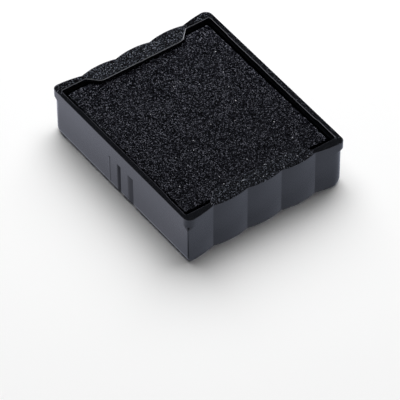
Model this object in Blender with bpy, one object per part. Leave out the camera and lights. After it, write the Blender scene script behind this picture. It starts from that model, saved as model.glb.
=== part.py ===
"""Ink pad cartridge for a self-inking stamp: a moulded tray that holds a foam pad on an ink felt.

X runs across the two straight sides that slide in the stamp, Y runs from one scalloped finger
grip to the other, and Z is up. The origin is the middle of the base, on the surface it stands on.
The tray looks the same after half a turn about Z, so the cartridge goes in either way round.
"""

import math

import bmesh
import bpy

MM = 0.001

# Tray, outside
TRAY_WIDTH = 45.8 * MM
TRAY_HEIGHT = 13.5 * MM
VALLEY_TO_VALLEY = 53.5 * MM
LOBE_PITCH = 9.87 * MM
LOBE_RISE = 0.68 * MM
END_LOBE_RISE = 1.04 * MM
END_LOBE_PEAK = 22.8 * MM
SIDE_DRAFT = 0.12 * MM
GRIP_DRAFT = 0.05 * MM
KEYED_CORNER_RADIUS = 2.6 * MM
PLAIN_CORNER_RADIUS = 0.3 * MM
RIM_KEYED_CORNER_RADIUS = 1.4 * MM
RIM_PLAIN_CORNER_RADIUS = 1.9 * MM
RIM_BAND_HEIGHT = 2.2 * MM
SHOULDER_HEIGHT = 0.9 * MM
RUNNER_EDGE_RADIUS = 1.5 * MM
RUNNER_SQUEEZE_START = 16.5 * MM
BASE_EDGE_RADIUS = 0.1 * MM
RIM_EDGE_RADIUS = 0.12 * MM

# Tray, recess for the pad
RECESS_HALF_WIDTH = 21.65 * MM
RECESS_HALF_LENGTH = 25.4 * MM
RECESS_CORNER_RADIUS = 0.5 * MM
RECESS_EDGE_RADIUS = 0.3 * MM
RECESS_WALL_STEP = 0.2 * MM
BEAD_HALF_LENGTH = 17.2 * MM
BEAD_RUN_OUT = 1.25 * MM
FLOOR_BOTTOM = 3.8 * MM
FLOOR_TOP = 4.8 * MM

# Tray, the two ledges that hold the pad down
LEDGE_THICKNESS = 0.9 * MM
LEDGE_REACH = 2.9 * MM
LEDGE_HALF_WIDTH = 14.8 * MM
LEDGE_TIP_RADIUS = 2.1 * MM

# Tray, keying notches and moulding seam of the straight sides
NARROW_NOTCH = {"y": 0.15 * MM, "width": 1.5 * MM, "top": 9.5 * MM, "depth": 1.0 * MM}
WIDE_NOTCH = {"y": -4.6 * MM, "width": 2.15 * MM, "top": 9.4 * MM, "depth": 0.8 * MM}
NOTCH_START_DEPTH = 0.1 * MM
SEAM_RIB = {"y": 3.95 * MM, "top": 9.3 * MM, "height": 0.12 * MM}
SEAM_BACK_SLOPE = 0.5 * MM
SEAM_FRONT_SLOPE = 0.3 * MM

# Tray, cored underside
SKIRT_HALF_WIDTH = 20.7 * MM
SKIRT_HALF_LENGTH = 24.5 * MM
CORE_COLUMNS = 2
CORE_ROWS = 3
RIB_THICKNESS = 1.0 * MM
CORE_CORNER_RADIUS = 0.6 * MM
CORE_TAPER = 0.15 * MM

# Pad
FIT_GAP = 0.3 * MM
PAD_WIDTH = 41.3 * MM
PAD_LENGTH = 48.4 * MM
PAD_SHIFT = 0.45 * MM
PAD_TOP = 12.3 * MM
PAD_THICKNESS = 2.2 * MM
PAD_CORNER_RADIUS = 0.6 * MM
FELT_WIDTH = 40.5 * MM
FELT_LENGTH = 47.3 * MM

# How finely the round stretches are cut
LOBE_SEGMENTS = 14
CORNER_SEGMENTS = 6
EDGE_SEGMENTS = 3
SHOULDER_STEPS = 4
FLARE_ANGLE = math.radians(78)
CUTTER_MARGIN = 1.0 * MM
OVERLAP = 0.4 * MM

BLACK_PLASTIC = (0.012, 0.012, 0.014, 1.0)
INKED_FOAM = (0.010, 0.010, 0.012, 1.0)
INKED_FELT = (0.006, 0.006, 0.008, 1.0)


def clear_scene():
    for thing in list(bpy.data.objects):
        bpy.data.objects.remove(thing, do_unlink=True)


def new_collection(name, is_cutter=False):
    collection = bpy.data.collections.new(name)
    bpy.context.scene.collection.children.link(collection)
    collection.hide_render = is_cutter
    return collection


def new_material(name, colour, roughness):
    material = bpy.data.materials.new(name)
    material.use_nodes = True
    shader = material.node_tree.nodes["Principled BSDF"]
    shader.inputs["Base Color"].default_value = colour
    shader.inputs["Roughness"].default_value = roughness
    shader.inputs["Metallic"].default_value = 0.0
    return material


def loft(name, collection, rings):
    """A closed solid through rings of equal point counts, each given as (z, points) from low to high."""
    mesh = bmesh.new()
    layers = [[mesh.verts.new((x, y, z)) for x, y in points] for z, points in rings]
    for low, high in zip(layers, layers[1:]):
        for i in range(len(low)):
            j = (i + 1) % len(low)
            mesh.faces.new((low[i], low[j], high[j], high[i]))
    mesh.faces.new(list(reversed(layers[0])))
    mesh.faces.new(layers[-1])
    data = bpy.data.meshes.new(name)
    mesh.to_mesh(data)
    mesh.free()
    solid = bpy.data.objects.new(name, data)
    collection.objects.link(solid)
    return solid


def boolean(target, tool, operation):
    step = target.modifiers.new(tool.name, "BOOLEAN")
    step.operation = operation
    step.solver = "EXACT"
    step.object = tool
    tool.hide_render = True
    tool.display_type = "WIRE"


def arc(centre, radius, start, end, segments):
    angles = [start + (end - start) * i / segments for i in range(segments + 1)]
    return [(centre[0] + radius * math.cos(a), centre[1] + radius * math.sin(a)) for a in angles]


def rounded_polygon(corners, segments=CORNER_SEGMENTS):
    """The outline through corners (x, y, radius), each rounded by an arc, whichever way it turns."""
    points = []
    for i, (x, y, radius) in enumerate(corners):
        before = corners[i - 1]
        after = corners[(i + 1) % len(corners)]
        inward = math.atan2(y - before[1], x - before[0])
        outward = math.atan2(after[1] - y, after[0] - x)
        turn = (outward - inward + math.pi) % (2 * math.pi) - math.pi
        trim = radius * abs(math.tan(turn / 2))
        start = (x - trim * math.cos(inward), y - trim * math.sin(inward))
        side = math.copysign(math.pi / 2, turn)
        centre = (start[0] + radius * math.cos(inward + side), start[1] + radius * math.sin(inward + side))
        points += arc(centre, radius, inward - side, inward - side + turn, segments)
    return points


def rounded_rectangle(half_width, half_length, radius, centre=(0.0, 0.0)):
    signs = [(-1, -1), (1, -1), (1, 1), (-1, 1)]
    return rounded_polygon(
        [(centre[0] + sx * half_width, centre[1] + sy * half_length, radius) for sx, sy in signs]
    )


def arc_through(half_chord, rise):
    """The radius of an arc that rises this far over this half chord."""
    return (half_chord**2 + rise**2) / (2 * rise)


def half_length():
    return VALLEY_TO_VALLEY / 2 + END_LOBE_RISE


def lobe_arc(middle):
    """One whole lobe of the -Y grip, from its left crease up to, but without, its right one."""
    radius = arc_through(LOBE_PITCH / 2, LOBE_RISE)
    half_angle = math.asin(LOBE_PITCH / 2 / radius)
    down = -math.pi / 2
    centre = (middle, radius - VALLEY_TO_VALLEY / 2 - LOBE_RISE)
    return arc(centre, radius, down - half_angle, down + half_angle, LOBE_SEGMENTS)[:-1]


def end_lobe(corner_radius):
    """The wider end lobe of the -Y grip, from its crease to the corner where it meets the +X side."""
    half_chord = END_LOBE_PEAK - 1.5 * LOBE_PITCH
    radius = arc_through(half_chord, END_LOBE_RISE)
    centre = (END_LOBE_PEAK, radius - half_length())
    corner_x = TRAY_WIDTH / 2 - corner_radius
    run = corner_x - END_LOBE_PEAK
    corner = (corner_x, centre[1] - math.sqrt((radius - corner_radius) ** 2 - run**2))
    meeting = math.atan2(corner[1] - centre[1], corner[0] - centre[0])
    crease = -math.pi / 2 - math.asin(half_chord / radius)
    lobe = arc(centre, radius, crease, meeting, LOBE_SEGMENTS)
    return lobe[:-1] + arc(corner, corner_radius, meeting, 0.0, CORNER_SEGMENTS)


def tray_outline(first_corner, second_corner):
    """The tray in plan. Each of the two corner radii is used twice, at opposite corners."""
    left_end = [(-x, y) for x, y in reversed(end_lobe(first_corner))]
    lobes = [point for i in (-1, 0, 1) for point in lobe_arc(i * LOBE_PITCH)]
    front = left_end[:-1] + lobes + end_lobe(second_corner)
    return front + [(-x, -y) for x, y in front]


def squeezed(x, inset):
    """Moves x in so that the straight side moves by the inset, while the lobes stay where they are."""
    reach = TRAY_WIDTH / 2 - RUNNER_SQUEEZE_START
    past = max(abs(x) - RUNNER_SQUEEZE_START, 0.0)
    return math.copysign(abs(x) - past * inset / reach, x)


def tray_ring(z, side_inset, grip_inset, corners):
    """The outline at height z, drawn in by the mould draft and by the rounding of an edge."""
    lean = 1 - z / TRAY_HEIGHT
    inset = side_inset + SIDE_DRAFT * lean
    scale = 1 - (grip_inset + GRIP_DRAFT * lean) / half_length()
    return z, [(squeezed(x, inset), y * scale) for x, y in tray_outline(*corners)]


def edge_inset(height, radius):
    """How far a rounded edge stands back at this height above or below its flat."""
    rise = max(radius - height, 0.0)
    return radius - math.sqrt(radius**2 - rise**2)


def blended(first, second, share):
    return tuple(a + (b - a) * share for a, b in zip(first, second))


def make_tray_shell(collection):
    """The outside of the tray: long rounded runner edges, keyed lower corners and a round rim."""
    keyed = (PLAIN_CORNER_RADIUS, KEYED_CORNER_RADIUS)
    rim = (RIM_PLAIN_CORNER_RADIUS, RIM_KEYED_CORNER_RADIUS)
    rings = []
    for i in range(2 * EDGE_SEGMENTS + 1):
        z = RUNNER_EDGE_RADIUS * (1 - math.cos(math.pi / 2 * i / (2 * EDGE_SEGMENTS)))
        side_inset = edge_inset(z, RUNNER_EDGE_RADIUS)
        rings.append(tray_ring(z, side_inset, edge_inset(z, BASE_EDGE_RADIUS), keyed))
    shoulder = TRAY_HEIGHT - RIM_BAND_HEIGHT - SHOULDER_HEIGHT
    for i in range(SHOULDER_STEPS + 1):
        share = i / SHOULDER_STEPS
        rings.append(tray_ring(shoulder + share * SHOULDER_HEIGHT, 0.0, 0.0, blended(keyed, rim, share)))
    for i in range(EDGE_SEGMENTS + 1):
        depth = RIM_EDGE_RADIUS * (1 - math.sin(math.pi / 2 * i / EDGE_SEGMENTS))
        inset = edge_inset(depth, RIM_EDGE_RADIUS)
        rings.append(tray_ring(TRAY_HEIGHT - depth, inset, inset, rim))
    return loft("cartridge_tray", collection, rings)


def recess_outline(grow):
    """The mouth of the recess, between the ledges, grown outwards by the given distance."""
    side = RECESS_HALF_WIDTH + grow
    bead = side - RECESS_WALL_STEP
    end = RECESS_HALF_LENGTH + grow
    ledge = RECESS_HALF_LENGTH - LEDGE_REACH + grow
    slant = grow * (1 - math.sqrt(2))
    root = LEDGE_HALF_WIDTH + slant
    tip = LEDGE_HALF_WIDTH - LEDGE_REACH + slant
    wide = RECESS_CORNER_RADIUS + grow
    small = RECESS_WALL_STEP
    quarter = [
        (bead, BEAD_HALF_LENGTH, small),
        (side, BEAD_HALF_LENGTH + BEAD_RUN_OUT, small),
        (side, end, wide),
        (root, end, wide),
        (tip, ledge, LEDGE_TIP_RADIUS - grow),
    ]
    left = [(-x, y, radius) for x, y, radius in reversed(quarter)]
    half = quarter + left
    return rounded_polygon(half + [(-x, -y, radius) for x, y, radius in half])


def cut_recess(tray, cutters):
    """Cuts the mouth, with its rounded edge, then the chamber that the ledges reach over."""
    ledge_bottom = TRAY_HEIGHT - LEDGE_THICKNESS
    rings = [(ledge_bottom - OVERLAP, recess_outline(0.0))]
    for i in range(EDGE_SEGMENTS + 1):
        turn = FLARE_ANGLE * i / EDGE_SEGMENTS
        z = TRAY_HEIGHT - RECESS_EDGE_RADIUS * (1 - math.sin(turn))
        rings.append((z, recess_outline(RECESS_EDGE_RADIUS * (1 - math.cos(turn)))))
    rings.append((TRAY_HEIGHT + CUTTER_MARGIN, rings[-1][1]))
    chamber_outline = rounded_rectangle(
        RECESS_HALF_WIDTH - 2 * RECESS_WALL_STEP,
        RECESS_HALF_LENGTH - RECESS_WALL_STEP,
        RECESS_CORNER_RADIUS,
    )
    chamber = [(FLOOR_TOP, chamber_outline), (ledge_bottom, chamber_outline)]
    boolean(tray, loft("recess_chamber", cutters, chamber), "DIFFERENCE")
    boolean(tray, loft("recess_mouth", cutters, rings), "DIFFERENCE")


def on_both_sides(points):
    """The outline for the -X side, and the same after half a turn, for the +X side."""
    return {"left": points, "right": [(-x, -y) for x, y in points]}


def notch(name, cutters, sizes):
    """A ramp-shaped notch in each straight side, open at the base and deepest at its -Y edge."""
    face = TRAY_WIDTH / 2
    high = sizes["y"] + sizes["width"] / 2
    low = sizes["y"] - sizes["width"] / 2
    plan = [
        (-face - CUTTER_MARGIN, high),
        (-face - CUTTER_MARGIN, low),
        (-face + sizes["depth"], low),
        (-face + NOTCH_START_DEPTH, high),
    ]
    return [
        loft(f"{name}_{side}", cutters, [(-CUTTER_MARGIN, points), (sizes["top"], points)])
        for side, points in on_both_sides(plan).items()
    ]


def seam_rib(cutters):
    """A thin upright ridge on each straight side, steeper on its -Y flank on the left side."""
    crest = SEAM_RIB["y"]
    rings = {"left": [], "right": []}
    for z in (RUNNER_EDGE_RADIUS, SEAM_RIB["top"]):
        face = TRAY_WIDTH / 2 - SIDE_DRAFT * (1 - z / TRAY_HEIGHT)
        plan = [
            (-face + OVERLAP, crest + SEAM_BACK_SLOPE),
            (-face, crest + SEAM_BACK_SLOPE),
            (-face - SEAM_RIB["height"], crest),
            (-face, crest - SEAM_FRONT_SLOPE),
            (-face + OVERLAP, crest - SEAM_FRONT_SLOPE),
        ]
        for side, points in on_both_sides(plan).items():
            rings[side].append((z, points))
    return [loft(f"seam_rib_{side}", cutters, levels) for side, levels in rings.items()]


def add_side_details(tray, cutters):
    for block in notch("narrow_notch", cutters, NARROW_NOTCH) + notch("wide_notch", cutters, WIDE_NOTCH):
        boolean(tray, block, "DIFFERENCE")
    for block in seam_rib(cutters):
        boolean(tray, block, "UNION")


def core_underside(tray, cutters):
    """Hollows the underside into equal cells, so that the floor stands on a skirt and crossed ribs."""
    cell_width = (2 * SKIRT_HALF_WIDTH - (CORE_COLUMNS - 1) * RIB_THICKNESS) / CORE_COLUMNS
    cell_length = (2 * SKIRT_HALF_LENGTH - (CORE_ROWS - 1) * RIB_THICKNESS) / CORE_ROWS
    for column in range(CORE_COLUMNS):
        for row in range(CORE_ROWS):
            x = (column - (CORE_COLUMNS - 1) / 2) * (cell_width + RIB_THICKNESS)
            y = (row - (CORE_ROWS - 1) / 2) * (cell_length + RIB_THICKNESS)
            rings = []
            for z, inset in ((-CUTTER_MARGIN, 0.0), (FLOOR_BOTTOM, CORE_TAPER)):
                half_sizes = (cell_width / 2 - inset, cell_length / 2 - inset)
                rings.append((z, rounded_rectangle(*half_sizes, CORE_CORNER_RADIUS, (x, y))))
            boolean(tray, loft(f"core_{column}_{row}", cutters, rings), "DIFFERENCE")


def make_tray(collection, cutters):
    tray = make_tray_shell(collection)
    cut_recess(tray, cutters)
    core_underside(tray, cutters)
    add_side_details(tray, cutters)
    tray.data.materials.append(new_material("black_tray_plastic", BLACK_PLASTIC, 0.3))


def make_slab(name, collection, width, length, bottom, top, material):
    """A plain cut sheet with rounded corners, whose origin is the middle of its lower face."""
    points = rounded_rectangle(width / 2, length / 2, PAD_CORNER_RADIUS)
    slab = loft(name, collection, [(0.0, points), (top - bottom, points)])
    slab.location = (0.0, PAD_SHIFT, bottom)
    slab.data.materials.append(material)


def make_pad(collection):
    pad_bottom = PAD_TOP - PAD_THICKNESS
    foam = new_material("inked_foam", INKED_FOAM, 0.9)
    felt = new_material("inked_felt", INKED_FELT, 0.95)
    make_slab("stamping_foam", collection, PAD_WIDTH, PAD_LENGTH, pad_bottom, PAD_TOP, foam)
    felt_bottom = FLOOR_TOP + FIT_GAP
    make_slab("ink_felt", collection, FELT_WIDTH, FELT_LENGTH, felt_bottom, pad_bottom - FIT_GAP, felt)


def main():
    clear_scene()
    cartridge = new_collection("ink_pad_cartridge")
    cutters = new_collection("cutters", is_cutter=True)
    make_tray(cartridge, cutters)
    make_pad(cartridge)


main()
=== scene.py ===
import math

import bpy
import numpy as np
from mathutils import Matrix, Vector


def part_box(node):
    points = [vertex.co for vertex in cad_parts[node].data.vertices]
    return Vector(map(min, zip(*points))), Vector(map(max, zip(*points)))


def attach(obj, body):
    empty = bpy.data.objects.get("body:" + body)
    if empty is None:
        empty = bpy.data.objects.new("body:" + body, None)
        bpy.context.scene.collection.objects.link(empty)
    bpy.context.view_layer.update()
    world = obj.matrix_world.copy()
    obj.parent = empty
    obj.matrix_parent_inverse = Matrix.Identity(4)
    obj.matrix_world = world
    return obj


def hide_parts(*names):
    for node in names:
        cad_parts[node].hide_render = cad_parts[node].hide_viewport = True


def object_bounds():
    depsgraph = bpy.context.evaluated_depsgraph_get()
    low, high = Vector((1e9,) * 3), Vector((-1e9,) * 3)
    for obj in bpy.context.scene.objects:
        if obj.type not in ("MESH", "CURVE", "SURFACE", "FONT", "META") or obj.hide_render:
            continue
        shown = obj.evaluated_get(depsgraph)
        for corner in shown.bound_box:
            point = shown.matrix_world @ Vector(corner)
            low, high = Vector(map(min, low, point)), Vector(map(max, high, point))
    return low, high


# The looks of an ink pad cartridge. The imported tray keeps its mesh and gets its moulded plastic. The
# foam and the felt are made anew as soaked, porous sheets. Lengths are in metres, in the frame of the
# CAD model: X across the straight guide walls, Y from one finger grip to the other, Z up.
# A pair of values is a span, and what is spread over it runs from the first to the second.

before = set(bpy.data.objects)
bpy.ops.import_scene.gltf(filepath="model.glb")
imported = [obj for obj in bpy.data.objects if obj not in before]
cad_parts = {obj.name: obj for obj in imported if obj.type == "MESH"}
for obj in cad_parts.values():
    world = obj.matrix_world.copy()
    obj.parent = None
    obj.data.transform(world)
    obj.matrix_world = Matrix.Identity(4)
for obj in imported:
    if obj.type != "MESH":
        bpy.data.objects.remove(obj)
cad_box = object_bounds()

MM = 0.001

# Camera: a long lens that looks down on the corner between -X and -Y
CAMERA_AZIMUTH = math.radians(-35.637)
CAMERA_ELEVATION = math.radians(45.677)
CAMERA_ROLL = math.radians(-0.205)
CAMERA_DISTANCE = 1136.2 * MM
CAMERA_AIM_RIGHT = 0.485 * MM
CAMERA_AIM_UP = -10.970 * MM
CAMERA_LENS = 428.4
CAMERA_SENSOR = 36.0
CAMERA_CLIP = (0.05, 50.0)

# Light: one large soft box behind the cartridge, a faint one in front of it, and a white table
KEY_PLACE = (0.42, 0.58, 1.0)
KEY_SIZE = 1.6
KEY_POWER = 31.0
FILL_PLACE = (-0.5, -0.7, 0.9)
FILL_SIZE = 0.8
FILL_POWER = 0.2
FLOOR_SIZE = 4.0
FLOOR_WHITE = (0.9, 0.9, 0.9)

# What the plastic mirrors round about. The spans are heights of the mirrored direction (its Z), and
# for BAND_SIDE how far it points to the left or right of the view.
STUDIO_TINT = (0.957, 0.990, 1.18)
HORIZON_BRIGHTNESS = 0.92
BAND_BRIGHTNESS = 1.4
OVERHEAD_BRIGHTNESS = 0.04
BAND_RISE = (0.05, 0.22)
BAND_SIDE = (0.45, 0.70)
HORIZON_FALL = (0.32, 0.46)

# What it mirrors of the table: a card just under it. The spans are places along Y, and for the
# shades distances from the cartridge's box.
CARD_DEPTH = 0.5 * MM
CARD_FRONT_TINT = (0.915, 0.985, 1.21)
CARD_NEAR_Y = (-30 * MM, -18 * MM)
CARD_NEAR_BRIGHTNESS = (0.77, 0.885)
CARD_FAR_Y = (5 * MM, 28 * MM)
CARD_FAR_GAIN = 0.17
WALL_SHADE = 0.72
WALL_SHADE_REACH = (1.5 * MM, 8.0 * MM)
CORNER_SHADE = 0.30
CORNER_SHADE_REACH = (5.0 * MM, 11.0 * MM)

# Tray: shading of its edges
WELD_DISTANCE = 0.001 * MM
CREASE_ANGLE = math.radians(20)
EDGE_ANGLE = math.radians(40)
UPRIGHT_SLOPE = 0.3

# Tray: where its ledges, its flat top and its notches are
LEDGE_OVER_FOAM = 2.6 * MM
LEDGE_HALF_WIDTH = 14.8 * MM
FLAT_TOP_DEPTH = 0.16 * MM
NOTCH_DEPTH_LEAST = 0.29 * MM
NOTCH_DEPTH_MOST = 1.3 * MM
NOTCH_TOP = 9.6 * MM
NOTCH_REACH = 6.5 * MM
NARROW_NOTCH_REACH = 2.0 * MM

# Tray: its surface. A set of sparks is its darkest, its lightest and how rare the light ones are.
GLOSS_IOR = 1.5
SATIN_PERIOD = 1.4 * MM
SATIN_DETAIL = 4.0
SATIN_ROUGHNESS = 0.6
FLOW_PERIOD = 12.0 * MM
NOISE_SUM = (0.7, 1.3)
SMOOTH_ROUGHNESS = (0.19, 0.27)
SPARK_SIZE = 0.19 * MM
SPARK_ROUGHNESS = (0.26, 0.16)
NARROW_NOTCH_ROUGHNESS = 0.78
WIDE_NOTCH_ROUGHNESS = 0.57
PLASTIC_DARK = (0.0026, 0.0029, 0.0036)
PLASTIC_LIGHT = (0.0036, 0.0040, 0.0050)
SPARK_TINT = (0.91, 0.99, 1.22)
LEDGE_SPARKS = (0.0008, 0.16, 2.0)
# Painted light on the ledges: their grain grows lighter from -Y to +Y
LEDGE_PAINTED_LIGHT = (0.72, 1.20)
# Painted glints: a few of the ledges' grains are coloured pale
LEDGE_PAINTED_GLINT_FROM = 0.996
LEDGE_PAINTED_GLINT = (0.30, 0.31, 0.34)
# The rim's grain at its +Y end and along +X, lighter than the smooth plastic: grain with painted light
RIM_SPARKS = (0.0006, 0.20, 3.0)
RIM_BACK_FROM = -1.0 * MM
RIM_BACK_TO = 0.6 * MM
RIM_SIDE_FROM = -2.6 * MM
RIM_SIDE_TO = -0.3 * MM
RIM_SIDE_SHARE = 0.45
SATIN_RELIEF = 0.16
TRAY_RELIEF = 0.03 * MM

# Tray: painted highlights on its blunt top edges. The spans are components of the surface's normal.
EDGE_HIGHLIGHT_DEPTH = 0.4 * MM
EDGE_HIGHLIGHT_OVER_WALL = (0.40, 0.60)
EDGE_HIGHLIGHT_UNDER_TOP = (0.76, 0.90)
RIM_TURN = (-0.5, 0.1)
LEDGE_TURN = (-0.3, 0.2)
LEDGE_END_TURN = (0.2, 0.4)
LEDGE_END_GAIN = 2.3
RIM_OUTSIDE_X = 0.8 * MM
RIM_OUTSIDE_Y = 1.7 * MM
PAINTED_HIGHLIGHT_OUTSIDE = (0.012, 0.0125, 0.0145)
PAINTED_HIGHLIGHT_RIM = (0.11, 0.112, 0.12)
PAINTED_HIGHLIGHT_LEDGE = (0.22, 0.223, 0.235)

# Foam and felt: their meshes. A grain's depth fades to EDGE_GRAIN of it over the round edges.
FOAM_SHEET = {
    "seed": 11, "cell": 0.2 * MM, "radius": 0.20 * MM,
    "grain": 0.75 * MM, "grain_depth": 0.025 * MM, "swell": 9.0 * MM, "swell_depth": 0.012 * MM,
}
FELT_SHEET = {
    "seed": 23, "cell": 0.4 * MM, "radius": 0.5 * MM,
    "grain": 0.9 * MM, "grain_depth": 0.08 * MM, "swell": 9.0 * MM, "swell_depth": 0.08 * MM,
}
SHEET_CORNER = 0.6 * MM
EDGE_STEPS = 4
SPARE_CELLS = 8
RIPPLE_SPREAD = 0.45
FINER_PERIOD = 0.6
FINER_SHARE = 0.45
GRAIN_GAIN = 0.8
EDGE_GRAIN = 0.15
GRAIN_ROOM = 2.0
SWELL_ROOM = 2.2

# Foam and felt: their cut sides. The shares and the limits are of the raggedness, outwards.
SIDE_RINGS = 9
CUT_RAGGEDNESS = 0.06 * MM
RAGGED_PERIOD = 1.6 * MM
RAGGED_SHARE = 0.6
CUT_GRAIN_SHARE = 0.5
CUT_DEEPEST = -1.8
CUT_PROUDEST = 0.9
CUT_FOOT = -0.8

# Foam: its ink, with painted light: lighter along the +X and +Y sides and their corner, where the tray's
# walls shade it, and lighter towards +Y
INK_CELL = 0.18 * MM
# The ink's grains: their lightest ones are partly painted glints
INK_GRAINS = (0.0001, 0.15, 1.5)
INK_TINT_DARK = (0.85, 1.0, 1.8)
INK_TINT_LIGHT = (0.98, 1.0, 1.18)
INK_EDGE_PAINTED_LIGHT = 2.0
INK_EDGE_REACH = (0.4 * MM, 1.5 * MM)
INK_CORNER_PAINTED_LIGHT = 1.8
INK_CORNER_REACH = (1.0 * MM, 8.0 * MM)
INK_LIGHT_ALONG_Y = (0.80, 1.22)
INK_PAINTED_GLINT_FROM = 0.9994
INK_PAINTED_GLINT = (0.60, 0.61, 0.66)
POOL_PERIOD = 6.0 * MM
POOL_SUM = (0.75, 1.25)
POOL_ROUGHNESS = (0.20, 0.34)
FOAM_RELIEF = 0.08 * MM
FOAM_SPECULAR = 0.02

# Felt: two layers of fibres, each stretched and then turned
FIBRE_LAYERS = (((1.0, 6.0, 2.0), (0.3, 0.2, 0.7)), ((6.0, 1.0, 2.0), (0.2, 0.4, -0.5)))
FIBRE_PERIOD = 1.6 * MM
FIBRE_DETAIL = 4.0
FIBRE_ROUGHNESS = 0.6
FIBRE_DISTORTION = 1.5
FELT_DARK = (0.004, 0.0044, 0.0055)
FELT_LIGHT = (0.013, 0.014, 0.017)
FELT_LIGHT_SPAN = (0.48, 0.72)
FELT_GLOSS_SPAN = (0.4, 0.75)
FELT_ROUGHNESS = (0.45, 0.8)
FELT_RELIEF = 0.15 * MM


def add_camera():
    azimuth, elevation = CAMERA_AZIMUTH, CAMERA_ELEVATION
    back = Vector((
        math.sin(azimuth) * math.cos(elevation),
        -math.cos(azimuth) * math.cos(elevation),
        math.sin(elevation),
    ))
    level = Vector((math.cos(azimuth), math.sin(azimuth), 0.0))
    upright = back.cross(level)
    right = level * math.cos(CAMERA_ROLL) + upright * math.sin(CAMERA_ROLL)
    up = upright * math.cos(CAMERA_ROLL) - level * math.sin(CAMERA_ROLL)
    data = bpy.data.cameras.new("view")
    data.sensor_width = CAMERA_SENSOR
    data.lens = CAMERA_LENS
    data.clip_start, data.clip_end = CAMERA_CLIP
    camera = bpy.data.objects.new("view", data)
    bpy.context.scene.collection.objects.link(camera)
    camera.matrix_world = Matrix((right, up, back)).transposed().to_4x4()
    aim = right * CAMERA_AIM_RIGHT + up * CAMERA_AIM_UP
    camera.matrix_world.translation = aim + back * CAMERA_DISTANCE
    bpy.context.scene.camera = camera


def add_soft_box(name, place, size, power):
    """A square area light aimed at the cartridge. It lights, but isn't mirrored in the plastic."""
    data = bpy.data.lights.new(name, "AREA")
    data.shape = "SQUARE"
    data.size = size
    data.energy = power
    lamp = bpy.data.objects.new(name, data)
    bpy.context.scene.collection.objects.link(lamp)
    lamp.location = place
    lamp.rotation_euler = Vector(place).to_track_quat("Z", "Y").to_euler()
    lamp.visible_glossy = False


class Nodes:
    """Adds shader nodes to a tree. An input is a number, a colour or another node's output."""

    def __init__(self, owner):
        owner.use_nodes = True
        self.tree = owner.node_tree

    def add(self, kind, inputs=None, **settings):
        node = self.tree.nodes.new("ShaderNode" + kind)
        for name, value in settings.items():
            setattr(node, name, value)
        for name, value in (inputs or {}).items():
            self.feed(node.inputs[name], value)
        return node

    def feed(self, socket, value):
        if isinstance(value, bpy.types.NodeSocket):
            self.tree.links.new(value, socket)
        elif socket.type == "RGBA":
            socket.default_value = (*value, 1.0)
        else:
            socket.default_value = value

    def math(self, operation, first, second=0.0, third=0.0):
        return self.add("Math", {0: first, 1: second, 2: third}, operation=operation).outputs[0]

    def axes(self, vector):
        """The X, Y and Z of a vector."""
        return self.add("SeparateXYZ", {0: vector}).outputs

    def above(self, value, limit):
        return self.math("GREATER_THAN", value, limit)

    def within(self, value, limit):
        """1 where the value is less than the limit from zero, on either side."""
        return self.math("LESS_THAN", self.math("ABSOLUTE", value), limit)

    def beyond(self, value, limit):
        """1 where the value is more than the limit from zero, on either side."""
        return self.above(self.math("ABSOLUTE", value), limit)

    def product(self, first, *others):
        for other in others:
            first = self.math("MULTIPLY", first, other)
        return first

    def noise(self, coordinates, period, detail=2.0, roughness=0.5, distortion=0.0):
        """A noise value around 0.5 whose features are about one period across."""
        node = self.add("TexNoise", {
            "Vector": coordinates,
            "Scale": 1.0 / period,
            "Detail": detail,
            "Roughness": roughness,
            "Distortion": distortion,
        })
        return node.outputs["Fac"]

    def spread(self, value, span, result, interpolation="LINEAR"):
        """The value, stretched from the span to the result and held at its ends."""
        node = self.add("MapRange", {
            "Value": value,
            "From Min": span[0],
            "From Max": span[1],
            "To Min": result[0],
            "To Max": result[1],
        }, interpolation_type=interpolation)
        return node.outputs[0]

    def grains(self, coordinates, size):
        """Cells about one size across: two random values for each, and the distance from its middle."""
        node = self.add("TexVoronoi", {"Vector": coordinates, "Scale": 1.0 / size})
        values = self.axes(node.outputs["Color"])
        return values["X"], values["Y"], node.outputs["Distance"]

    def speckle(self, value, tint, dark, light, rarity):
        """A colour for a random value from 0 to 1: dark to light by ratio, light ones the rarer."""
        exponent = self.math("POWER", value, rarity)
        strength = self.math("MULTIPLY", self.math("POWER", light / dark, exponent), dark)
        return self.scaled(tint, strength)

    def scaled(self, colour, factor):
        return self.add("VectorMath", {0: colour, "Scale": factor}, operation="SCALE").outputs[0]

    def blend(self, share, first, second):
        """A number between two others."""
        node = self.add("Mix", {"Factor": share}, data_type="FLOAT")
        self.feed(node.inputs[2], first)
        self.feed(node.inputs[3], second)
        return node.outputs[0]

    def mix(self, share, first, second):
        """A colour between two others."""
        return self.add("MixRGB", {"Fac": share, "Color1": first, "Color2": second}).outputs[0]

    def relief(self, height, depth):
        """A bumpy normal, with the height's step from 0 to 1 made one depth high."""
        return self.add("Bump", {"Height": height, "Distance": depth, "Strength": 1.0}).outputs[0]


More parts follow.
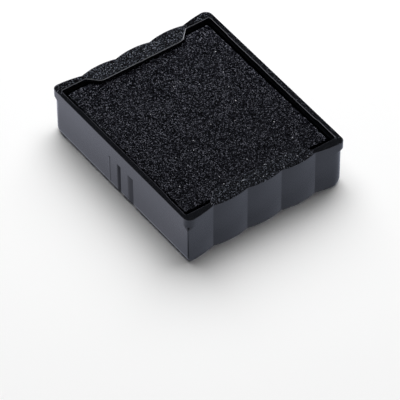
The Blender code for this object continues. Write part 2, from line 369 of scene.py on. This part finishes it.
def add_world():
    """What the plastic mirrors: pale low down all round, brighter on two sides, and dark overhead."""
    world = bpy.data.worlds.new("studio")
    bpy.context.scene.world = world
    nodes = Nodes(world)
    sky = nodes.add("TexCoord").outputs["Generated"]
    height = nodes.axes(sky)["Z"]
    rise = nodes.spread(height, BAND_RISE, (0.0, BAND_BRIGHTNESS), "SMOOTHSTEP")
    level = (math.cos(CAMERA_AZIMUTH), math.sin(CAMERA_AZIMUTH), 0.0)
    sideways = nodes.add("VectorMath", {0: sky, 1: level}, operation="DOT_PRODUCT").outputs["Value"]
    beside = nodes.spread(nodes.math("ABSOLUTE", sideways), BAND_SIDE, (0.0, 1.0), "SMOOTHSTEP")
    walls = nodes.math("MULTIPLY_ADD", rise, beside, HORIZON_BRIGHTNESS)
    open_sky = nodes.spread(height, HORIZON_FALL, (1.0, 0.0), "SMOOTHSTEP")
    brightness = nodes.math("MULTIPLY_ADD", walls, open_sky, OVERHEAD_BRIGHTNESS)
    background = nodes.tree.nodes["Background"]
    nodes.feed(background.inputs["Color"], STUDIO_TINT)
    nodes.feed(background.inputs["Strength"], brightness)
    world.cycles_visibility.diffuse = False


def add_plane(name, height):
    half = FLOOR_SIZE / 2
    mesh = bpy.data.meshes.new(name)
    corners = [(-half, -half, height), (half, -half, height), (half, half, height), (-half, half, height)]
    mesh.from_pydata(corners, [], [(0, 1, 2, 3)])
    plane = bpy.data.objects.new(name, mesh)
    bpy.context.scene.collection.objects.link(plane)
    material = bpy.data.materials.new(name)
    mesh.materials.append(material)
    return plane, Nodes(material)


def add_floor():
    """A matt white table. The plastic doesn't mirror it, but the card under it."""
    floor, nodes = add_plane("floor", 0.0)
    shader = nodes.tree.nodes["Principled BSDF"]
    nodes.feed(shader.inputs["Base Color"], FLOOR_WHITE)
    nodes.feed(shader.inputs["Roughness"], 1.0)
    nodes.feed(shader.inputs["Specular IOR Level"], 0.0)
    floor.visible_glossy = False


def add_reflection_card():
    """A glowing card that only mirrors show: bright far off, darker by the walls and the near corner."""
    card, nodes = add_plane("reflection_card", -CARD_DEPTH)
    low, high = cad_box
    place = nodes.axes(nodes.add("NewGeometry").outputs["Position"])
    past_side = nodes.math("SUBTRACT", nodes.math("ABSOLUTE", place["X"]), high[0])
    past_end = nodes.math("SUBTRACT", nodes.math("ABSOLUTE", place["Y"]), high[1])
    distance = nodes.math("MAXIMUM", past_side, past_end)
    wall_shade = nodes.spread(distance, WALL_SHADE_REACH, (WALL_SHADE, 1.0), "SMOOTHSTEP")

    left = nodes.math("MAXIMUM", nodes.math("SUBTRACT", low[0], place["X"]), 0.0)
    before = nodes.math("MAXIMUM", nodes.math("SUBTRACT", low[1], place["Y"]), 0.0)
    off_corner = nodes.product(nodes.above(left, 0.0), nodes.above(before, 0.0))
    from_corner = nodes.add("CombineXYZ", {0: left, 1: before}).outputs[0]
    away = nodes.add("VectorMath", {0: from_corner}, operation="LENGTH").outputs["Value"]
    corner_shade = nodes.spread(away, CORNER_SHADE_REACH, (CORNER_SHADE, 1.0), "SMOOTHSTEP")
    shade = nodes.product(wall_shade, nodes.blend(off_corner, 1.0, corner_shade))

    near = nodes.spread(place["Y"], CARD_NEAR_Y, CARD_NEAR_BRIGHTNESS)
    far = nodes.spread(place["Y"], CARD_FAR_Y, (0.0, CARD_FAR_GAIN))
    brightness = nodes.product(shade, nodes.math("ADD", near, far))
    colour = nodes.mix(nodes.spread(place["Y"], CARD_NEAR_Y, (0.0, 1.0)), CARD_FRONT_TINT, STUDIO_TINT)
    glow = nodes.add("Emission", {"Color": colour, "Strength": brightness})
    nodes.feed(nodes.tree.nodes["Material Output"].inputs["Surface"], glow.outputs[0])
    card.visible_camera = False
    card.visible_diffuse = False
    card.visible_shadow = False


def read(items, name, kind, width=1):
    """One value of every item of a mesh, in rows when the value has more than one number."""
    values = np.empty(len(items) * width, kind)
    items.foreach_get(name, values)
    return values.reshape(-1, width) if width > 1 else values


def shade_round(piece):
    """Rounds the shading over blunt edges. Upright edges stay sharp from a smaller angle, as creases."""
    mesh = piece.data
    points = read(mesh.vertices, "co", np.float32, 3)
    corner_points = points[read(mesh.loops, "vertex_index", np.int32)]
    facing = read(mesh.polygons, "normal", np.float32, 3)
    area = read(mesh.polygons, "area", np.float32)
    face = np.repeat(np.arange(len(area)), read(mesh.polygons, "loop_total", np.int32))

    spots = np.round(corner_points / WELD_DISTANCE).astype(np.int64)
    group = np.unique(spots, axis=0, return_inverse=True)[1].reshape(-1)
    upright = np.abs(facing[:, 2]) < UPRIGHT_SLOPE
    normals = facing[face].copy()
    order = np.argsort(group, kind="stable")
    for members in np.split(order, np.flatnonzero(np.diff(group[order])) + 1):
        around = face[members]
        agree = facing[around] @ facing[around].T
        crease = upright[around][:, None] & upright[around][None, :]
        limit = np.where(crease, math.cos(CREASE_ANGLE), math.cos(EDGE_ANGLE))
        weight = (agree > limit) * area[around][None, :]
        blended = weight @ facing[around]
        normals[members] = blended / np.linalg.norm(blended, axis=1, keepdims=True)
    mesh.polygons.foreach_set("use_smooth", np.ones(len(area), bool))
    mesh.normals_split_custom_set(normals.tolist())


def start_material(name):
    """A new glossy material, with its nodes, its shader and the place on the object."""
    material = bpy.data.materials.new(name)
    nodes = Nodes(material)
    shader = nodes.tree.nodes["Principled BSDF"]
    nodes.feed(shader.inputs["IOR"], GLOSS_IOR)
    return material, nodes, shader, nodes.add("TexCoord").outputs["Object"]


def painted_edge_highlights(nodes, axis, high, on_ledge):
    """Where the blunt top edges get a painted highlight, and its colour: palest round the pad, facing -X
    and -Y.
    """
    normal = nodes.axes(nodes.add("NewGeometry").outputs["Normal"])
    over_wall = nodes.spread(normal["Z"], EDGE_HIGHLIGHT_OVER_WALL, (0.0, 1.0))
    under_top = nodes.spread(normal["Z"], EDGE_HIGHLIGHT_UNDER_TOP, (1.0, 0.0))
    edge_highlight_share = nodes.product(over_wall, under_top, nodes.above(axis["Z"], high.z - EDGE_HIGHLIGHT_DEPTH))

    rim_turned = nodes.spread(nodes.math("ADD", normal["X"], normal["Y"]), RIM_TURN, (1.0, 0.0))
    ledge_turned = nodes.spread(normal["Y"], LEDGE_TURN, (1.0, 0.0))
    turned = nodes.blend(on_ledge, rim_turned, ledge_turned)
    inner_x = nodes.within(axis["X"], high.x - RIM_OUTSIDE_X)
    inner_y = nodes.within(axis["Y"], high.y - RIM_OUTSIDE_Y)
    round_pad = nodes.product(inner_x, inner_y, turned)
    ledge_end = nodes.spread(normal["X"], LEDGE_END_TURN, (1.0, LEDGE_END_GAIN))
    pad_edge_highlight = nodes.mix(on_ledge, PAINTED_HIGHLIGHT_RIM, nodes.scaled(PAINTED_HIGHLIGHT_LEDGE, ledge_end))
    return edge_highlight_share, nodes.mix(round_pad, PAINTED_HIGHLIGHT_OUTSIDE, pad_edge_highlight)


def finish_tray():
    """Satin black moulding, with a fine spark-eroded texture on the tops of the two ledges.

    The rim is grainy too at its +Y end and a little along +X, and lighter there: grain with painted
    light. The notches are duller than the walls.
    """
    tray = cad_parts["cartridge_tray"]
    shade_round(tray)
    low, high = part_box("cartridge_tray")
    foam_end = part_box("stamping_foam")[1].y
    material, nodes, shader, place = start_material("tray_plastic")
    axis = nodes.axes(place)

    beyond_root = nodes.beyond(axis["Y"], foam_end - LEDGE_OVER_FOAM)
    on_ledge = nodes.product(beyond_root, nodes.within(axis["X"], LEDGE_HALF_WIDTH))
    top = nodes.above(axis["Z"], high.z - FLAT_TOP_DEPTH)
    textured = nodes.product(on_ledge, top)
    notch = nodes.product(
        nodes.within(axis["X"], high.x - NOTCH_DEPTH_LEAST),
        nodes.beyond(axis["X"], high.x - NOTCH_DEPTH_MOST),
        nodes.math("LESS_THAN", axis["Z"], NOTCH_TOP),
        nodes.within(axis["Y"], NOTCH_REACH),
    )
    wide_notch = nodes.beyond(axis["Y"], NARROW_NOTCH_REACH)

    satin = nodes.noise(place, SATIN_PERIOD, SATIN_DETAIL, SATIN_ROUGHNESS)
    flow = nodes.noise(place, FLOW_PERIOD)
    spark, glint, spark_rise = nodes.grains(place, SPARK_SIZE)
    smooth_roughness = nodes.spread(nodes.math("ADD", satin, flow), NOISE_SUM, SMOOTH_ROUGHNESS)
    spark_roughness = nodes.spread(spark, (0.0, 1.0), SPARK_ROUGHNESS)
    notch_roughness = nodes.blend(wide_notch, NARROW_NOTCH_ROUGHNESS, WIDE_NOTCH_ROUGHNESS)
    roughness = nodes.blend(textured, smooth_roughness, spark_roughness)
    nodes.feed(shader.inputs["Roughness"], nodes.blend(notch, roughness, notch_roughness))

    smooth_colour = nodes.mix(flow, PLASTIC_DARK, PLASTIC_LIGHT)
    # Painted light: the ledges' grain is lighter towards +Y
    ledge_painted_light = nodes.spread(axis["Y"], (low.y, high.y), LEDGE_PAINTED_LIGHT)
    ledge_colour = nodes.scaled(nodes.speckle(spark, SPARK_TINT, *LEDGE_SPARKS), ledge_painted_light)
    # Painted glints on a few grains of the ledges
    ledge_colour = nodes.mix(nodes.above(glint, LEDGE_PAINTED_GLINT_FROM), ledge_colour, LEDGE_PAINTED_GLINT)
    # The rim's grain, partly painted light: lighter at the +Y end and a little along +X
    rim_colour = nodes.speckle(spark, SPARK_TINT, *RIM_SPARKS)
    back = nodes.spread(axis["Y"], (foam_end + RIM_BACK_FROM, foam_end + RIM_BACK_TO), (0.0, 1.0))
    side = nodes.spread(axis["X"], (high.x + RIM_SIDE_FROM, high.x + RIM_SIDE_TO), (0.0, RIM_SIDE_SHARE))
    on_rim = nodes.product(top, nodes.math("SUBTRACT", 1.0, textured))
    rim_grain_and_light_share = nodes.product(on_rim, nodes.math("MAXIMUM", back, side))
    moulded = nodes.mix(textured, nodes.mix(rim_grain_and_light_share, smooth_colour, rim_colour), ledge_colour)
    # Painted highlights: the blunt top edges are lighter, most round the pad where they face -X and -Y
    edge_highlight_share, edge_highlight_colour = painted_edge_highlights(nodes, axis, high, on_ledge)
    nodes.feed(shader.inputs["Base Color"], nodes.mix(edge_highlight_share, moulded, edge_highlight_colour))

    height = nodes.blend(textured, nodes.product(satin, SATIN_RELIEF), spark_rise)
    nodes.feed(shader.inputs["Normal"], nodes.relief(height, TRAY_RELIEF))
    tray.data.materials.clear()
    tray.data.materials.append(material)


def ripple(random, shape, cell, period):
    """A random surface on a grid, with ripples about one period long and a deviation of 1."""
    rows, columns = shape
    waves = np.fft.rfft2(random.standard_normal(shape))
    frequency = np.hypot(np.fft.fftfreq(rows, cell)[:, None], np.fft.rfftfreq(columns, cell)[None, :])
    waves *= np.exp(-((frequency * period - 1.0) / RIPPLE_SPREAD) ** 2)
    waves[0, 0] = 0.0
    surface = np.fft.irfft2(waves, s=shape)
    return surface / surface.std()


def sample(surface, cell, u, v):
    """Reads a ripple at the distances u and v along its rows and columns, wrapping round."""
    row, column = u / cell, v / cell
    r0, c0 = np.floor(row).astype(int), np.floor(column).astype(int)
    fr, fc = row - r0, column - c0
    rows, columns = surface.shape
    a = surface[r0 % rows, c0 % columns]
    b = surface[(r0 + 1) % rows, c0 % columns]
    c = surface[r0 % rows, (c0 + 1) % columns]
    d = surface[(r0 + 1) % rows, (c0 + 1) % columns]
    return (a * (1 - fr) + b * fr) * (1 - fc) + (c * (1 - fr) + d * fr) * fc


def spaced(half, cell, radius):
    """Even steps from -half to half, with closer ones over the round edge at each end."""
    edge = radius * (1 - np.cos(np.linspace(0, math.pi / 2, EDGE_STEPS + 1)))
    inner = half - radius
    count = max(int(round(2 * inner / cell)), 2)
    middle = np.linspace(-inner, inner, count + 1)
    return np.concatenate([-half + edge[:-1], middle, (half - edge[:-1])[::-1]])


def round_corners(across, along, side_x, side_y):
    """Pulls the four corners of a rectangular grid in to a quarter circle."""
    corner = SHEET_CORNER
    p = np.maximum(np.abs(across) - (side_x - corner), 0.0) / corner
    q = np.maximum(np.abs(along) - (side_y - corner), 0.0) / corner
    pull_x = corner * p * (1 - np.sqrt(1 - q**2 / 2))
    pull_y = corner * q * (1 - np.sqrt(1 - p**2 / 2))
    return across - np.sign(across) * pull_x, along - np.sign(along) * pull_y


def cut_side(outline, top, bottom, cell, ragged, fine):
    """Rings of points from the sheet's outline down to its foot, ragged as foam or felt is cut."""
    step = np.linalg.norm(np.diff(outline[:, :2], axis=0, append=outline[:1, :2]), axis=1)
    around = np.concatenate([[0.0], np.cumsum(step)[:-1]])
    tangent = np.roll(outline[:, :2], -1, axis=0) - np.roll(outline[:, :2], 1, axis=0)
    outward = np.stack([tangent[:, 1], -tangent[:, 0]], axis=1)
    outward /= np.linalg.norm(outward, axis=1, keepdims=True)

    rings = []
    for i in range(1, SIDE_RINGS + 1):
        share = i / SIDE_RINGS
        z = outline[:, 2] * (1 - share) + bottom * share
        bulge = sample(ragged, cell, top - z, around) * CUT_RAGGEDNESS * RAGGED_SHARE
        bulge += sample(fine, cell, top - z, around) * CUT_RAGGEDNESS * CUT_GRAIN_SHARE
        bulge = np.clip(bulge, CUT_DEEPEST * CUT_RAGGEDNESS, CUT_PROUDEST * CUT_RAGGEDNESS)
        if i == SIDE_RINGS:
            bulge = np.full_like(bulge, CUT_FOOT * CUT_RAGGEDNESS)
        rings.append(np.column_stack([outline[:, :2] + outward * bulge[:, None], z]))
    return rings


def make_sheet(name, node, slot, seed, cell, radius, grain, grain_depth, swell, swell_depth):
    """A porous sheet in the room of a CAD node: grainy on top, with round and ragged cut edges."""
    low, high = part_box(node)
    middle = (low + high) / 2
    half_x, half_y = (high.x - low.x) / 2, (high.y - low.y) / 2
    side_x, side_y = half_x - CUT_RAGGEDNESS, half_y - CUT_RAGGEDNESS
    across, along = np.meshgrid(spaced(side_x, cell, radius), spaced(side_y, cell, radius))

    random = np.random.default_rng(seed)
    shape = (int(2 * half_y / cell) + SPARE_CELLS, int(2 * half_x / cell) + SPARE_CELLS)
    fine = ripple(random, shape, cell, grain)
    finer = ripple(random, shape, cell, grain * FINER_PERIOD)
    broad = ripple(random, shape, cell, swell)
    ragged = ripple(random, shape, cell, RAGGED_PERIOD)

    u, v = along + half_y, across + half_x
    grains = sample(fine, cell, u, v) + FINER_SHARE * sample(finer, cell, u, v)
    from_edge = np.minimum(side_x - np.abs(across), side_y - np.abs(along))
    drop = radius - np.sqrt(np.maximum(radius**2 - np.maximum(radius - from_edge, 0.0) ** 2, 0.0))
    height = high.z - GRAIN_ROOM * grain_depth - SWELL_ROOM * swell_depth - drop
    height += np.tanh(grains * GRAIN_GAIN) * grain_depth * np.clip(from_edge / radius, EDGE_GRAIN, 1.0)
    height += sample(broad, cell, u, v) * swell_depth
    x, y = round_corners(across, along, side_x, side_y)
    top = np.stack([x, y, height], axis=-1).reshape(-1, 3)

    index = np.arange(across.size).reshape(across.shape)
    rim = np.concatenate([index[0, :-1], index[:-1, -1], index[-1, :0:-1], index[:0:-1, 0]])
    rings = cut_side(top[rim], high.z, low.z, cell, ragged, fine)
    points = np.concatenate([top] + rings)
    points[:, 0] += middle.x
    points[:, 1] += middle.y

    squares = [index[:-1, :-1], index[:-1, 1:], index[1:, 1:], index[1:, :-1]]
    faces = np.stack(squares, axis=-1).reshape(-1, 4).tolist()
    bands = [rim] + [across.size + len(rim) * i + np.arange(len(rim)) for i in range(SIDE_RINGS)]
    for upper, lower in zip(bands, bands[1:]):
        faces += np.stack([upper, lower, np.roll(lower, -1), np.roll(upper, -1)], axis=1).tolist()
    faces.append(bands[-1][::-1].tolist())

    mesh = bpy.data.meshes.new(name)
    mesh.from_pydata(points.tolist(), [], faces)
    mesh.shade_smooth()
    mesh.polygons[len(faces) - 1].use_smooth = False
    sheet = bpy.data.objects.new(name, mesh)
    bpy.context.scene.collection.objects.link(sheet)
    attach(sheet, "root")
    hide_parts(node)
    return sheet


def make_foam():
    """Fine open-cell foam, wet with ink: black, with small painted glints on its grain, and painted light
    along its shaded sides and towards +Y.
    """
    foam = make_sheet("soaked_foam", "stamping_foam", "inked_foam", **FOAM_SHEET)
    low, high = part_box("stamping_foam")
    material, nodes, shader, place = start_material("inked_foam")
    axis = nodes.axes(place)
    cell, glint, from_cell = nodes.grains(place, INK_CELL)
    pools = nodes.noise(place, POOL_PERIOD)

    # Painted light: the ink is lighter along the +X and +Y sides and near their corner, against the
    # walls' shade
    to_side = nodes.math("SUBTRACT", high.x, axis["X"])
    to_end = nodes.math("SUBTRACT", high.y, axis["Y"])
    to_edge = nodes.math("MINIMUM", to_side, to_end)
    edge_painted_light = nodes.spread(to_edge, INK_EDGE_REACH, (INK_EDGE_PAINTED_LIGHT, 1.0))
    to_corner = nodes.add("VectorMath", {0: place, 1: high.to_tuple()}, operation="DISTANCE")
    corner_painted_light = nodes.spread(
        to_corner.outputs["Value"], INK_CORNER_REACH, (INK_CORNER_PAINTED_LIGHT, 1.0), "SMOOTHSTEP")
    # Painted light: the ink grows lighter from -Y to +Y
    painted_light_along_y = nodes.spread(axis["Y"], (low.y, high.y), INK_LIGHT_ALONG_Y)
    painted_light = nodes.product(nodes.math("MAXIMUM", edge_painted_light, corner_painted_light), painted_light_along_y)
    # Grain whose lightest cells are partly painted glints, and a few pale cells as painted glints
    tint = nodes.mix(cell, INK_TINT_DARK, INK_TINT_LIGHT)
    ink = nodes.scaled(nodes.speckle(cell, tint, *INK_GRAINS), painted_light)
    colour = nodes.mix(nodes.above(glint, INK_PAINTED_GLINT_FROM), ink, INK_PAINTED_GLINT)
    nodes.feed(shader.inputs["Base Color"], colour)

    roughness = nodes.spread(nodes.math("ADD", from_cell, pools), POOL_SUM, POOL_ROUGHNESS)
    nodes.feed(shader.inputs["Roughness"], roughness)
    nodes.feed(shader.inputs["Normal"], nodes.relief(from_cell, FOAM_RELIEF))
    nodes.feed(shader.inputs["Specular IOR Level"], FOAM_SPECULAR)
    foam.data.materials.append(material)


def make_felt():
    """A thick, matted felt that stores the ink under the foam."""
    felt = make_sheet("soaked_felt", "ink_felt", "inked_felt", **FELT_SHEET)
    material, nodes, shader, place = start_material("inked_felt")
    layers = []
    for stretch, turn in FIBRE_LAYERS:
        laid = nodes.add("Mapping", {"Vector": place, "Scale": stretch, "Rotation": turn}).outputs[0]
        layers.append(nodes.noise(laid, FIBRE_PERIOD, FIBRE_DETAIL, FIBRE_ROUGHNESS, FIBRE_DISTORTION))
    fibres = nodes.math("MAXIMUM", *layers)
    colour = nodes.mix(nodes.spread(fibres, FELT_LIGHT_SPAN, (0.0, 1.0)), FELT_DARK, FELT_LIGHT)
    nodes.feed(shader.inputs["Base Color"], colour)
    nodes.feed(shader.inputs["Roughness"], nodes.spread(fibres, FELT_GLOSS_SPAN, FELT_ROUGHNESS))
    nodes.feed(shader.inputs["Normal"], nodes.relief(fibres, FELT_RELIEF))
    felt.data.materials.append(material)


bpy.context.scene.view_settings.view_transform = "Standard"
add_camera()
add_world()
add_floor()
add_reflection_card()
add_soft_box("key", KEY_PLACE, KEY_SIZE, KEY_POWER)
add_soft_box("front_fill", FILL_PLACE, FILL_SIZE, FILL_POWER)
finish_tray()
make_foam()
make_felt()
